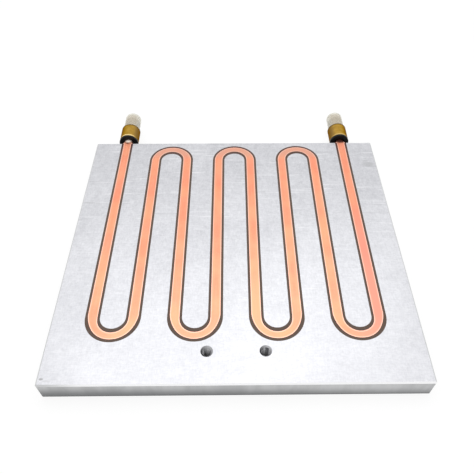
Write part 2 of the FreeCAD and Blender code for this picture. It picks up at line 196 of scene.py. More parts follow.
class Graph:
    """One node tree, filled by a few short calls."""

    def __init__(self, tree: bpy.types.NodeTree) -> None:
        """Start on an emptied tree."""
        self.tree = tree
        tree.nodes.clear()

    def node(self, kind: str, settings: dict[str, Any], values: dict[Any, Any]) -> bpy.types.Node:
        """Add a node.

        Args:
            kind: The node's type.
            settings: Its own properties, set first.
            values: What each input socket gets: a value, a Signal or an output socket.

        Returns:
            The node.
        """
        node = self.tree.nodes.new(kind)
        for name, value in settings.items():
            setattr(node, name, value)
        for name, value in values.items():
            if isinstance(value, Signal):
                self.tree.links.new(value.socket, node.inputs[name])
            elif isinstance(value, bpy.types.NodeSocket):
                self.tree.links.new(value, node.inputs[name])
            else:
                node.inputs[name].default_value = value
        return node

    def place(self) -> bpy.types.NodeSocket:
        """Return the point's place on the part."""
        return self.node("ShaderNodeTexCoord", {}, {}).outputs["Object"]

    def split(self, vector: bpy.types.NodeSocket) -> tuple["Signal", "Signal", "Signal"]:
        """Return a vector's three parts."""
        outputs = self.node("ShaderNodeSeparateXYZ", {}, {"Vector": vector}).outputs
        return Signal(self, outputs[0]), Signal(self, outputs[1]), Signal(self, outputs[2])

    def facing(self) -> tuple["Signal", "Signal", "Signal"]:
        """Return the three parts of the direction that the surface faces."""
        return self.split(self.node("ShaderNodeTexCoord", {}, {}).outputs["Normal"])

    def join(self, *parts: Number) -> bpy.types.NodeSocket:
        """Return a vector of three numbers."""
        return self.node("ShaderNodeCombineXYZ", {}, dict(enumerate(parts))).outputs[0]

    def noise(self, vector: bpy.types.NodeSocket, texture: Texture) -> "Signal":
        """Return soft random variation from about 0 to 1.

        Args:
            vector: The place it is read at.
            texture: What the variation is like.

        Returns:
            The variation.
        """
        if texture.drawn is not None:
            values = {"Vector": vector, "Scale": texture.drawn}
            vector = self.node("ShaderNodeMapping", {}, values).outputs[0]
        values = {
            "Vector": vector,
            "Scale": texture.scale,
            "Detail": texture.detail,
            "Roughness": texture.rough,
        }
        variation = Signal(self, self.node("ShaderNodeTexNoise", {}, values).outputs[0])
        return variation if texture.span is None else variation.rise(*texture.span)

    def blend(self, share: Number, first: Any, second: Any) -> bpy.types.NodeSocket:
        """Mix two colours.

        Args:
            share: How much of the second colour shows.
            first: A colour or a colour socket.
            second: A colour or a colour socket.

        Returns:
            The mixed colour.
        """
        first, second = (
            (*colour, 1.0) if isinstance(colour, tuple) else colour for colour in (first, second)
        )
        settings = {"data_type": "RGBA", "clamp_factor": True}
        return self.node("ShaderNodeMix", settings, {0: share, 6: first, 7: second}).outputs[2]

    def relief(
        self,
        height: "Signal",
        depth: float,
        strength: float,
        under: Optional[bpy.types.NodeSocket] = None,
    ) -> bpy.types.NodeSocket:
        """Raise a relief on the surface.

        Args:
            height: The relief from 0 to 1.
            depth: Its full height in metres.
            strength: How strongly it shows.
            under: A relief that it lies on.

        Returns:
            The surface's new direction.
        """
        values = {"Height": height, "Distance": depth, "Strength": strength}
        if under is not None:
            values["Normal"] = under
        return self.node("ShaderNodeBump", {}, values).outputs[0]


@dataclass(frozen=True)
class Finish:
    """What every finish has: a name and the constants of its surface."""

    name: str
    metallic: float = 0.0
    fresnel_index: float = 1.45
    specular_level: float = 0.5
    edge_tint: Colour = (1.0, 1.0, 1.0)
    roughness: float = 0.30
    relief_depth: float = 0.00003
    relief_strength: float = 0.3

    def surface(self, graph: Graph) -> dict[str, Any]:
        """Return the values of the surface's sockets.

        Args:
            graph: The finish's tree.

        Returns:
            Socket names with their values or links.
        """
        raise NotImplementedError

    def make(self) -> bpy.types.Material:
        """Build the material.

        Returns:
            The finished material.
        """
        material = bpy.data.materials.new(self.name)
        material.use_nodes = True
        graph = Graph(material.node_tree)
        values = {
            "Metallic": self.metallic,
            "IOR": self.fresnel_index,
            "Specular IOR Level": self.specular_level,
            "Specular Tint": (*self.edge_tint, 1.0),
            **self.surface(graph),
        }
        shader = graph.node("ShaderNodeBsdfPrincipled", {}, values)
        graph.node("ShaderNodeOutputMaterial", {}, {"Surface": shader.outputs[0]})
        return material


@dataclass(frozen=True)
class SoftMark:
    """A soft round or long mark on a surface that is seen from above."""

    x: float
    y: float
    half_width: float
    half_length: float
    strength: float
    fade: Span = (0.1, 1.0)

    def share(self, x: Signal, y: Signal) -> Signal:
        """Work out how much of the mark shows.

        Args:
            x: The point's place across the plate.
            y: The point's place along the plate.

        Returns:
            The mark's strength in its middle, falling to 0 at its rim.
        """
        across = (x - self.x) / self.half_width
        along = (y - self.y) / self.half_length
        return (1.0 - (across * across + along * along).rise(*self.fade)) * self.strength


@dataclass(frozen=True)
class MachinedAluminium(Finish):
    """Cold plate aluminium: an evenly sanded face, milled edges and tapped holes."""

    name: str = "machined_aluminium"
    metallic: float = 0.8
    light: Colour = (0.68, 0.683, 0.709)
    dark: Colour = (0.43, 0.433, 0.458)
    scratch_light: Colour = (0.82, 0.82, 0.84)
    scratch_dark: Colour = (0.34, 0.34, 0.36)
    # Painted highlight on the front chamfer.
    chamfer_highlight: Colour = (0.95, 0.95, 0.96)
    edge_light: Colour = (0.62, 0.625, 0.63)
    edge_dark: Colour = (0.42, 0.425, 0.43)
    # Painted shade towards the foot of the upright edges, and a painted contact shadow along the
    # bottom.
    edge_foot_shade: Colour = (0.13, 0.135, 0.14)
    foot_contact_shade: Colour = (0.045, 0.046, 0.048)
    # Painted shade and painted highlights inside the tapped holes.
    hole_light: Colour = (0.86, 0.86, 0.88)
    hole_dark: Colour = (0.22, 0.22, 0.235)
    # Lit and shaded colours of the countersinks: painted shade.
    sink_lit_colour: Colour = (0.50, 0.50, 0.515)
    sink_shaded_colour: Colour = (0.06, 0.06, 0.065)
    sink_lit_across: float = 0.7
    sink_lit_along: float = 0.5
    sink_radius: float = 0.0052
    hole_places: tuple[tuple[float, float], ...] = ()
    hole_radius: float = 0.0036
    hole_floor: float = 0.001
    thread_pitch: float = 0.00125
    half_width: float = 0.15
    thickness: float = 0.02
    across_marks: Texture = Texture(620.0, 3.0, 0.7, drawn=(0.45, 1.5, 1.0))
    along_marks: Texture = Texture(620.0, 3.0, 0.7, drawn=(1.5, 0.45, 1.0))
    grain_span: Span = (0.3, 0.7)
    grain_share: float = 0.5
    mottle: Texture = Texture(150.0, 4.0, 0.6)
    mottle_span: Span = (0.2, 0.8)
    mottle_share: float = 0.25
    cloud: Texture = Texture(22.0, 3.0, span=(0.2, 0.8))
    cloud_share: float = 0.25
    bright_line: Texture = Texture(270.0, drawn=(0.07, 1.6, 1.0), span=(0.60, 0.72))
    bright_share: float = 0.45
    dull_line: Texture = Texture(240.0, drawn=(0.10, 1.3, 1.0), span=(0.62, 0.74))
    dull_share: float = 0.35
    port_end: Span = (-0.08, 0.13)
    least_lines: float = 0.15
    upright: Texture = Texture(1600.0, 3.0, 0.6, drawn=(1.0, 1.0, 0.04))
    upright_share: float = 0.35
    edge_patch: Texture = Texture(90.0, 3.0, drawn=(1.0, 1.0, 0.3), span=(0.25, 0.75))
    edge_patch_share: float = 0.65
    painted_hole_streaks: Texture = Texture(420.0, drawn=(1.0, 1.0, 0.05), span=(0.35, 0.6))
    facing_up: Span = (0.3, 0.6)
    facing_straight_up: Span = (0.8, 0.95)
    facing_down: Span = (0.85, 0.95)
    facing_front: Span = (0.3, 0.6)
    foot_tilt: float = 0.15
    foot_height: float = 0.9
    foot_share: float = 0.9
    foot_contact_height: Span = (0.0012, 0.0036)
    foot_contact_share: float = 0.6
    chamfer_highlight_span: Span = (-0.147, -0.112)
    hole_lit: Span = (0.002, 0.014)
    hole_metallic: float = 0.2
    roughness: float = 0.33
    edge_roughness: float = 0.30
    grain_roughness: float = 0.16
    mottle_roughness: float = 0.06
    relief_depth: float = 0.00004
    relief_strength: float = 0.35
    thread_depth: float = 0.0004
    thread_strength: float = 1.0
    stain_mottle: float = 2.0
    dark_marks: tuple[SoftMark, ...] = (
        SoftMark(-0.1425, 0.0492, 0.0075, 0.0016, 0.35),
        SoftMark(-0.1340, 0.0478, 0.0050, 0.0012, 0.22),
        SoftMark(0.141, 0.104, 0.008, 0.0045, 0.4),
        SoftMark(0.139, 0.109, 0.004, 0.0015, 0.3),
        SoftMark(-0.1462, -0.1345, 0.0022, 0.0012, 0.8),
        SoftMark(-0.1415, -0.1362, 0.0040, 0.0010, 0.25),
    )
    dark_mark_colour: Colour = (0.33, 0.33, 0.335)

    def in_hole(self, x: Signal, y: Signal, radius: float) -> Signal:
        """Find the points near the middle of a hole.

        Args:
            x: The point's place across the plate.
            y: The point's place along the plate.
            radius: How near they have to be.

        Returns:
            1 within the radius, and otherwise 0.
        """
        inside: Number = 0.0
        for centre_x, centre_y in self.hole_places:
            gap_x, gap_y = x - centre_x, y - centre_y
            inside = (radius**2 - (gap_x * gap_x + gap_y * gap_y)).above(0.0) + inside
        return inside

    def surface(self, graph: Graph) -> dict[str, Any]:
        """Return the values of the surface's sockets.

        Args:
            graph: The finish's tree.

        Returns:
            Socket names with their values or links.
        """
        place = graph.place()
        x, y, z = graph.split(place)
        across, along, up = graph.facing()
        flat = up.rise(*self.facing_up) + (-up).rise(*self.facing_down)
        corner = up.rise(*self.facing_up) * (1.0 - up.rise(*self.facing_straight_up))
        across_marks = graph.noise(place, self.across_marks)
        along_marks = graph.noise(place, self.along_marks)
        grain = across_marks * 0.5 + along_marks * 0.5
        mottle = graph.noise(place, self.mottle)
        upright = graph.noise(place, self.upright)
        sanded = self.sanded_face(graph, place, grain, mottle)
        colour = graph.blend(flat, self.milled_edge(graph, place, upright), sanded)
        # Painted highlight: the front chamfer is painted lighter, except at its left end.
        chamfer_highlight_mask = (-along).rise(*self.facing_front) * x.rise(*self.chamfer_highlight_span)
        chamfer_colour = graph.blend(chamfer_highlight_mask, self.edge_light, self.chamfer_highlight)
        colour = graph.blend(corner, colour, chamfer_colour)
        # Painted shade in the countersinks: lighter on their right and back walls, dark on their
        # front and left walls.
        sink = self.in_hole(x, y, self.sink_radius)
        lit = 0.5 - self.sink_lit_across * across - self.sink_lit_along * along
        sink_painted_shade = graph.blend(lit, self.sink_shaded_colour, self.sink_lit_colour)
        colour = graph.blend(sink * corner, colour, sink_painted_shade)
        hole = self.in_hole(x, y, self.hole_radius) * z.above(self.hole_floor)
        # Painted shade and highlights in the tapped holes: dark deep down, with painted light and
        # dark streaks up the wall nearer the top.
        lit = graph.noise(place, self.painted_hole_streaks) * z.rise(*self.hole_lit)
        colour = graph.blend(hole, colour, graph.blend(lit, self.hole_dark, self.hole_light))
        face_rough = self.roughness + self.grain_roughness * grain + self.mottle_roughness * mottle
        edge_rough = self.edge_roughness + self.grain_roughness * upright
        marks = flat.pick(grain, upright)
        normal = graph.relief(marks, self.relief_depth, self.relief_strength)
        thread = hole * (z / self.thread_pitch).wave()
        return {
            "Base Color": colour,
            "Roughness": flat.pick(face_rough, edge_rough),
            "Metallic": hole.pick(self.hole_metallic, self.metallic),
            "Normal": graph.relief(thread, self.thread_depth, self.thread_strength, normal),
        }

    def sanded_face(
        self, graph: Graph, place: bpy.types.NodeSocket, grain: Signal, mottle: Signal
    ) -> bpy.types.NodeSocket:
        """Work out the colour of the cooling face.

        Args:
            graph: The finish's tree.
            place: The point's place.
            grain: The fine marks of the sanding.
            mottle: The patches in them.

        Returns:
            The colour.
        """
        x, y, _ = graph.split(place)
        fine = grain.rise(*self.grain_span) * self.grain_share
        middle = mottle.rise(*self.mottle_span) * self.mottle_share
        broad = graph.noise(place, self.cloud) * self.cloud_share
        colour = graph.blend(fine + middle + broad, self.dark, self.light)
        lines = self.least_lines + (1.0 - self.least_lines) * y.rise(*self.port_end)
        bright = graph.noise(place, self.bright_line) * lines
        colour = graph.blend(bright * self.bright_share, colour, self.scratch_light)
        dull = graph.noise(place, self.dull_line) * lines
        colour = graph.blend(dull * self.dull_share, colour, self.scratch_dark)
        for dark_mark in self.dark_marks:
            share = dark_mark.share(x, y) * (mottle * self.stain_mottle)
            colour = graph.blend(share, colour, self.dark_mark_colour)
        return colour

    def milled_edge(
        self, graph: Graph, place: bpy.types.NodeSocket, upright: Signal
    ) -> bpy.types.NodeSocket:
        """Work out the colour of the plate's upright edges, with painted shade towards their foot.

        Args:
            graph: The finish's tree.
            place: The point's place.
            upright: The fine marks of the milling.

        Returns:
            The colour.
        """
        x, _, z = graph.split(place)
        patch = graph.noise(place, self.edge_patch) * self.edge_patch_share
        colour = graph.blend(upright * self.upright_share + patch, self.edge_dark, self.edge_light)
        # Painted shade: the upright edges darken towards the foot, reaching higher at the left end,
        # and a painted contact shadow darkens the lowest few millimetres.
        height = z + (x / self.half_width) * (self.foot_tilt * self.thickness)
        foot_shade = 1.0 - height.rise(0.0, self.foot_height * self.thickness)
        colour = graph.blend(foot_shade * self.foot_share, colour, self.edge_foot_shade)
        contact_shade = 1.0 - z.rise(*self.foot_contact_height)
        return graph.blend(contact_shade * self.foot_contact_share, colour, self.foot_contact_shade)


@dataclass(frozen=True)
class Serpentine:
    """Coordinates that follow the pressed tube round its legs and bends."""

    pitch: float = 0.0334
    front_bends: float = -0.0813
    back_bends: float = 0.1110
    last_bend: float = 0.1002
    half_flat: float = 0.0040
    inner_arc: float = 0.01255
    inner_shift: float = 0.00155
    apex_arc: float = 0.0190
    apex_shift: float = 0.0012
    side_arc: float = 0.0303
    side_shift: float = 0.00945
    side_start: float = 0.0050
    side_end: float = 0.0116

    @staticmethod
    def reach(across: Signal, along: Signal) -> Signal:
        """Return the length of a line with these two parts."""
        return (across * across + along * along) ** 0.5

    def bend_places(self, x: Signal) -> tuple[Signal, Signal]:
        """Find a point's place in the nearest bends.

        Args:
            x: The point's place across the plate.

        Returns:
            The distance across from the middle of the front bend and of the back bend.
        """
        pair = self.pitch * 2
        front = abs((x / pair).fraction() * pair - self.pitch)
        back = abs((x / pair + 0.5).fraction() * pair - self.pitch)
        return front, back

    def follow(self, x: Signal, y: Signal) -> tuple[Signal, Signal]:
        """Work out a point's place on the tube.

        Args:
            x: The point's place across the plate.
            y: The point's place along the plate.

        Returns:
            The distance from the middle line, and the place along the tube.
        """
        radius = self.pitch / 2
        leg_gap = abs((x / self.pitch).fraction() * self.pitch - radius)
        front_x, back_x = self.bend_places(x)
        front_y = abs(y - self.front_bends)
        back_y = abs(y - self.back_bends)
        front_gap = abs(self.reach(front_x, front_y) - radius)
        back_gap = abs(self.reach(back_x, back_y) - radius)
        at_front = (self.front_bends - y).above(0.0)
        at_back = self.at_back(x, y)
        gap = at_front.pick(front_gap, at_back.pick(back_gap, leg_gap))
        front_run = self.front_bends - radius * front_y.maths("ARCTAN2", front_y, front_x)
        back_run = self.back_bends + radius * back_y.maths("ARCTAN2", back_y, back_x)
        return gap, at_front.pick(front_run, at_back.pick(back_run, y))

    def at_back(self, x: Signal, y: Signal) -> Signal:
        """Return 1 in the back bends, and 0 elsewhere."""
        return y.above(self.back_bends) * (1.0 - abs(x).above(self.last_bend))

    def margin(self, x: Signal, y: Signal) -> Signal:
        """Work out how far inside the rim of the pressed face a point lies.

        Args:
            x: The point's place across the plate.
            y: The point's place along the plate.

        Returns:
            The distance to the nearer rim, less than 0 outside the face.
        """
        radius = self.pitch / 2
        leg = self.half_flat - abs((x / self.pitch).fraction() * self.pitch - radius)
        front_x, back_x = self.bend_places(x)
        below = self.front_bends - y
        beyond = y - self.back_bends
        apex = self.apex_arc - self.reach(front_x, below - self.apex_shift)
        side = self.side_arc - self.reach(front_x + self.side_shift, below + self.side_start)
        outer = below.above(self.side_end).pick(apex, side)
        inner = self.reach(front_x, (below - self.inner_shift).greater(0.0))
        front = outer.less(inner - self.inner_arc)
        outer = radius + self.half_flat - self.reach(back_x, beyond)
        inner = self.reach(back_x, (beyond - self.inner_shift).greater(0.0))
        back = outer.less(inner - self.inner_arc)
        return below.above(-self.side_start).pick(front, self.at_back(x, y).pick(back, leg))


@dataclass(frozen=True)
class MachinedCopper(Finish):
    """Copper tube pressed into the plate and machined flush with it."""

    name: str = "machined_copper"
    metallic: float = 0.8
    fresnel_index: float = 1.5
    light: Colour = (0.88, 0.37, 0.24)
    dark: Colour = (0.80, 0.24, 0.135)
    golden: Colour = (0.86, 0.47, 0.24)
    dull: Colour = (0.66, 0.36, 0.27)
    # Painted highlight along the rims of the pressed face.
    rim_highlight_colour: Colour = (0.94, 0.60, 0.48)
    # Painted shade on the sides of the round tube.
    flank_shade_colour: Colour = (0.20, 0.05, 0.03)
    dark_mark_colour: Colour = (0.10, 0.03, 0.022)
    # The first is a dark mark on the left stub at the plate's back edge; the second darkens the
    # right stub, as painted shade and the painted reflection of the dark collar.
    dark_marks: tuple[SoftMark, ...] = (
        SoftMark(-0.1170, 0.1400, 0.0024, 0.0012, 0.9),
        SoftMark(0.1169, 0.1433, 0.0080, 0.0056, 1.0),
    )
    rosy_side: SoftMark = SoftMark(0.1250, -0.0500, 0.0400, 0.1100, 0.85)
    rosy: Colour = (0.86, 0.265, 0.20)
    # Painted highlight on the left stub.
    stub_highlight: SoftMark = SoftMark(-0.1167, 0.1440, 0.0046, 0.0040, 1.0)
    stub_highlight_colour: Colour = (1.0, 0.86, 0.76)
    course: Serpentine = Serpentine()
    streak: Texture = Texture(24.0, 4.0, 0.6)
    streak_thinness: float = 30.0
    streak_share: float = 0.45
    streak_roughness: float = 0.1
    grain: Texture = Texture(620.0, 3.0, 0.7)
    grain_share: float = 0.3
    grain_roughness: float = 0.12
    mark_span: Span = (0.2, 0.8)
    blush: Texture = Texture(45.0, 3.0, span=(0.2, 0.8))
    blush_share: float = 0.25
    golden_patch: Texture = Texture(40.0, span=(0.35, 0.7))
    golden_share: float = 0.3
    dull_length: float = 0.012
    dull_share: float = 0.7
    rim_highlight_width: Span = (0.0003, 0.0012)
    rim_highlight_share: float = 0.65
    facing_up: Span = (0.55, 0.93)

    def surface(self, graph: Graph) -> dict[str, Any]:
        """Return the values of the surface's sockets.

        Args:
            graph: The finish's tree.

        Returns:
            Socket names with their values or links.
        """
        place = graph.place()
        x, y, _ = graph.split(place)
        up = graph.facing()[2]
        gap, run = self.course.follow(x, y)
        leg = (x / self.course.pitch).floor()
        streak = graph.noise(graph.join(gap * self.streak_thinness, run, leg), self.streak)
        grain = graph.noise(place, self.grain)
        long = streak.rise(*self.mark_span) * self.streak_share
        broad = graph.noise(place, self.blush) * self.blush_share
        fine = grain.rise(*self.mark_span) * self.grain_share
        colour = graph.blend(long + broad + fine, self.dark, self.light)
        golden = graph.noise(place, self.golden_patch)
        colour = graph.blend(golden * self.golden_share, colour, self.golden)
        colour = graph.blend(self.rosy_side.share(x, y), colour, self.rosy)
        bend = self.course.back_bends
        apex = self.course.at_back(x, y) * y.rise(bend, bend + self.dull_length)
        colour = graph.blend(apex * self.dull_share, colour, self.dull)
        # Painted highlight: a lighter rim along the edges of the pressed face.
        rim_highlight = 1.0 - self.course.margin(x, y).rise(*self.rim_highlight_width)
        colour = graph.blend(rim_highlight * self.rim_highlight_share, colour, self.rim_highlight_colour)
        # Painted shade and the painted reflection of the dark collar on the sides of the round
        # tube, where it does not face up.
        colour = graph.blend(1.0 - up.rise(*self.facing_up), colour, self.flank_shade_colour)
        # Painted highlight: a pale patch without metal shine on the top of the left stub by the
        # collar.
        stub_highlight = self.stub_highlight.share(x, y)
        colour = graph.blend(stub_highlight, colour, self.stub_highlight_colour)
        # Dark marks, one of them painted shade on the right stub.
        for dark_mark in self.dark_marks:
            colour = graph.blend(dark_mark.share(x, y), colour, self.dark_mark_colour)
        rough = self.roughness + self.streak_roughness * streak + self.grain_roughness * grain
        normal = graph.relief(streak, self.relief_depth, self.relief_strength)
        return {
            "Base Color": colour,
            "Roughness": rough,
            "Metallic": self.metallic * (1.0 - stub_highlight),
            "Normal": graph.relief(grain, self.relief_depth, self.relief_strength, normal),
        }


@dataclass(frozen=True)
class FilledEpoxy(Finish):
    """Dark heat-conducting resin with a fine mineral filler."""

    name: str = "filled_epoxy"
    specular_level: float = 0.35
    light: Colour = (0.150, 0.099, 0.071)
    dark: Colour = (0.060, 0.037, 0.028)
    cooked: Colour = (0.075, 0.016, 0.012)
    cooked_length: Span = (0.105, 0.14)
    cooked_share: float = 0.75
    filler: Texture = Texture(1800.0, 4.0, 0.65)
    filler_share: float = 0.6
    filler_roughness: float = 0.2
    patch: Texture = Texture(90.0, 3.0)
    patch_share: float = 0.4
    roughness: float = 0.42
    relief_depth: float = 0.00005
    relief_strength: float = 0.4

    def surface(self, graph: Graph) -> dict[str, Any]:
        """Return the values of the surface's sockets.

        Args:
            graph: The finish's tree.

        Returns:
            Socket names with their values or links.
        """
        place = graph.place()
        filler = graph.noise(place, self.filler)
        patch = graph.noise(place, self.patch) * self.patch_share
        colour = graph.blend(filler * self.filler_share + patch, self.dark, self.light)
        cooked = graph.split(place)[1].rise(*self.cooked_length)
        colour = graph.blend(cooked * self.cooked_share, colour, self.cooked)
        return {
            "Base Color": colour,
            "Roughness": self.roughness + self.filler_roughness * filler,
            "Normal": graph.relief(filler, self.relief_depth, self.relief_strength),
        }


@dataclass(frozen=True)
class TurnedMetal(Finish):
    """Metal turned on a lathe about an axis that runs out of the plate."""

    name: str = "turned_brass"
    metallic: float = 1.0
    edge_tint: Colour = (0.50, 0.34, 0.14)
    light: Colour = (0.57, 0.36, 0.080)
    dark: Colour = (0.34, 0.195, 0.036)
    # Painted shade on the left and right sides of the turned body.
    flank_shade_colour: Colour = (0.23, 0.145, 0.065)
    # Painted shade towards and under the cap.
    capped_shade_colour: Colour = (0.12, 0.08, 0.035)
    # Painted highlight on the upper part of the front chamfer.
    rim_highlight_colour: Colour = (0.98, 0.76, 0.36)
    rim_highlight_strength: float = 0.0
    roughness: float = 0.24
    capped_shade_span: Span = (1.0, 1.1)
    capped_shade_share: float = 0.85
    turned: Texture = Texture(2600.0, 3.0, 0.6, drawn=(0.02, 1.0, 0.02))
    turned_share: float = 0.4
    turned_roughness: float = 0.06
    tarnish: Texture = Texture(180.0, 4.0, 0.6)
    tarnish_span: Span = (0.25, 0.75)
    tarnish_share: float = 0.6
    tarnish_roughness: float = 0.12
    facing_aside: Span = (0.35, 0.9)
    flank_share: float = 0.9
    facing_front: Span = (0.4, 0.65)
    facing_up: Span = (0.45, 0.68)
    relief_depth: float = 0.00002
    relief_strength: float = 0.4

    def surface(self, graph: Graph) -> dict[str, Any]:
        """Return the values of the surface's sockets.

        Args:
            graph: The finish's tree.

        Returns:
            Socket names with their values or links.
        """
        place = graph.place()
        y = graph.split(place)[1]
        across, along, up = graph.facing()
        turned = graph.noise(place, self.turned)
        tarnish = graph.noise(place, self.tarnish)
        patch = tarnish.rise(*self.tarnish_span) * self.tarnish_share
        colour = graph.blend(turned * self.turned_share + patch, self.dark, self.light)
        # Painted shade: the turned body is darker on the sides that face left and right.
        flank = abs(across).rise(*self.facing_aside)
        colour = graph.blend(flank * self.flank_share, colour, self.flank_shade_colour)
        # Painted highlight on the upper part of the front chamfer.
        rim_highlight = (-along).rise(*self.facing_front) * up.rise(*self.facing_up)
        colour = graph.blend(rim_highlight * self.rim_highlight_strength, colour, self.rim_highlight_colour)
        # Painted shade: the body darkens towards the cap's mouth and under the cap.
        capped_shade = y.rise(*self.capped_shade_span)
        colour = graph.blend(capped_shade * self.capped_shade_share, colour, self.capped_shade_colour)
        rough = self.roughness + self.tarnish_roughness * tarnish + self.turned_roughness * turned
        normal = graph.relief(turned, self.relief_depth, self.relief_strength)
        return {"Base Color": colour, "Roughness": rough, "Normal": normal}


@dataclass(frozen=True)
class CapPlastic(Finish):
    """Soft see-through plastic, clearer and lighter at its closed end and, as painted light, along
    its flanks.
    """

    name: str = "soft_cap_plastic"
    light: Colour = (0.73, 0.665, 0.545)
    dark: Colour = (0.63, 0.57, 0.46)
    clear: Colour = (0.93, 0.91, 0.81)
    closed_end: Span = (0.1835, 0.1870)
    facing_aside: Span = (0.5, 0.95)
    clear_share: float = 0.85
    alpha: float = 0.6
    clear_alpha: float = 0.45
    skin: Texture = Texture(500.0, 3.0, 0.6)
    skin_share: float = 0.4
    skin_roughness: float = 0.1
    patch: Texture = Texture(150.0, 3.0)
    patch_share: float = 0.6
    patch_roughness: float = 0.06
    relief_strength: float = 0.2

    def surface(self, graph: Graph) -> dict[str, Any]:
        """Return the values of the surface's sockets.

        Args:
            graph: The finish's tree.

        Returns:
            Socket names with their values or links.
        """
        place = graph.place()
        skin = graph.noise(place, self.skin)
        patch = graph.noise(place, self.patch)
        spread = skin * self.skin_share + patch * self.patch_share
        colour = graph.blend(spread, self.dark, self.light)
        # Painted light on the flanks: they get the lighter clear colour and a lower alpha, as the
        # closed end does.
        flank = abs(graph.facing()[0]).rise(*self.facing_aside)
        clear = flank.greater(graph.split(place)[1].rise(*self.closed_end))
        return {
            "Base Color": graph.blend(clear * self.clear_share, colour, self.clear),
            "Roughness": self.roughness + self.skin_roughness * skin + self.patch_roughness * patch,
            "Normal": graph.relief(skin, self.relief_depth, self.relief_strength),
            "Alpha": clear.pick(self.clear_alpha, self.alpha),
        }


@dataclass(frozen=True)
class MouldedPlastic(Finish):
    """A moulded part: an even colour, a faint skin and a soft gloss."""

    name: str = "moulded_plastic"
    light: Colour = (0.02, 0.021, 0.022)
    dark: Colour = (0.008, 0.008, 0.008)
    roughness: float = 0.28
    skin: Texture = Texture(1100.0, 3.0, 0.6)
    skin_share: float = 0.5
    skin_roughness: float = 0.1
    patch: Texture = Texture(150.0, 3.0)
    patch_share: float = 0.5
    patch_roughness: float = 0.06
    relief_strength: float = 0.25

    def surface(self, graph: Graph) -> dict[str, Any]:
        """Return the values of the surface's sockets.

        Args:
            graph: The finish's tree.

        Returns:
            Socket names with their values or links.
        """
        place = graph.place()
        skin = graph.noise(place, self.skin)
        patch = graph.noise(place, self.patch)
        spread = skin * self.skin_share + patch * self.patch_share
        return {
            "Base Color": graph.blend(spread, self.dark, self.light),
            "Roughness": self.roughness + self.skin_roughness * skin + self.patch_roughness * patch,
            "Normal": graph.relief(skin, self.relief_depth, self.relief_strength),
        }


def dress(node: str, material: bpy.types.Material) -> None:
    """Give a node of the part its finish.

    Args:
        node: The node's name.
        material: The finish.
    """
    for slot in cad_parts[node].material_slots:
        slot.material = material
    LOG.info("%s has the finish %s", node, material.name)


def publish(name: str, shape: bmesh.types.BMesh, material: bpy.types.Material) -> bpy.types.Object:
    """Turn a finished bmesh into a piece of the scene.

    Args:
        name: The piece's name.
        shape: Its shape in place; it is freed here.
        material: Its finish.

    Returns:
        The new object.
    """
    bmesh.ops.recalc_face_normals(shape, faces=shape.faces)
    for face in shape.faces:
        face.smooth = True
    for edge in shape.edges:
        edge.smooth = edge.calc_face_angle(0.0) < SHARP_ANGLE
    mesh = bpy.data.meshes.new(name)
    shape.to_mesh(mesh)
    shape.free()
    mesh.materials.append(material)
    piece = bpy.data.objects.new(name, mesh)
    bpy.context.scene.collection.objects.link(piece)
    LOG.info("%s has %d faces", name, len(mesh.polygons))
    return piece


@dataclass
class ThreadRidge:
    """The ridge of a screw thread, which winds along an axis."""

    root_radius: float
    crest_radius: float
    pitch: float
    turns: int
    steps_per_turn: int = 32
    root_share: float = 0.8

    def wind(self, shape: bmesh.types.BMesh, start: Vector, axis: Vector, aside: Vector) -> None:
        """Add the ridge to a shape.

        Args:
            shape: The shape that it becomes part of.
            start: The place on the axis where the first turn begins.
            axis: The direction that the turns advance in.
            aside: The direction from the axis to the first point of the ridge.
        """
        half = self.pitch * self.root_share / 2
        corners = [
            shape.verts.new(start + aside * radius + axis * along)
            for radius, along in (
                (self.root_radius, -half),
                (self.crest_radius, 0.0),
                (self.root_radius, half),
            )
        ]
        section = [shape.edges.new((corners[i], corners[(i + 1) % 3])) for i in range(3)]
        bmesh.ops.spin(
            shape,
            geom=corners + section,
            cent=start,
            axis=axis,
            dvec=axis * (self.pitch / self.steps_per_turn),
            angle=math.tau * self.turns,
            steps=self.turns * self.steps_per_turn,
            use_merge=False,
        )
        rims = [edge for edge in shape.edges if edge.is_boundary]
        bmesh.ops.holes_fill(shape, edges=rims, sides=3)


@dataclass
class TappedHole:
    """The thread of one mounting hole: a ridge that winds down its wall."""

    name: str
    centre: Vector
    ridge: ThreadRidge = field(
        default_factory=lambda: ThreadRidge(
            root_radius=3.45 * MILLIMETRE,
            crest_radius=3.1 * MILLIMETRE,
            pitch=1.25 * MILLIMETRE,
            turns=9,
        )
    )

    def build(self, material: bpy.types.Material) -> bpy.types.Object:
        """Wind the ridge.

        Args:
            material: The plate's finish.

        Returns:
            The new piece.
        """
        shape = bmesh.new()
        self.ridge.wind(shape, self.centre, Vector((0.0, 0.0, -1.0)), Vector((1.0, 0.0, 0.0)))
        piece = publish(self.name, shape, material)
        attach(piece, BODY)
        return piece


@dataclass
class BasePlate:
    """The aluminium plate with its two tapped mounting holes."""

    hole_spacing: float = 46.0 * MILLIMETRE
    hole_setback: float = 27.5 * MILLIMETRE
    countersink_depth: float = 1.5 * MILLIMETRE
    thread_start: float = 0.9 * MILLIMETRE

    def hole_places(self) -> tuple[tuple[float, float], ...]:
        """Return the places of the two holes."""
        low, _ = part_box("base_plate")
        across = self.hole_spacing / 2
        return ((-across, low.y + self.hole_setback), (across, low.y + self.hole_setback))

    def build(self) -> None:
        """Dress the plate and cut its threads."""
        _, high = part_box("base_plate")
        finish = MachinedAluminium(hole_places=self.hole_places()).make()
        dress("base_plate", finish)
        top = high.z - self.countersink_depth - self.thread_start
        for side, (x, y) in zip(("left", "right"), self.hole_places()):
            TappedHole(side + "_hole_thread", Vector((x, y, top))).build(finish)


@dataclass
class CoolantCircuit:
    """The serpentine tube and the resin that bonds it."""

    tube: Finish = field(default_factory=MachinedCopper)
    bond: Finish = field(default_factory=FilledEpoxy)

    def build(self) -> None:
        """Dress the tube and its bond."""
        dress("coolant_tube", self.tube.make())
        dress("thermal_epoxy", self.bond.make())


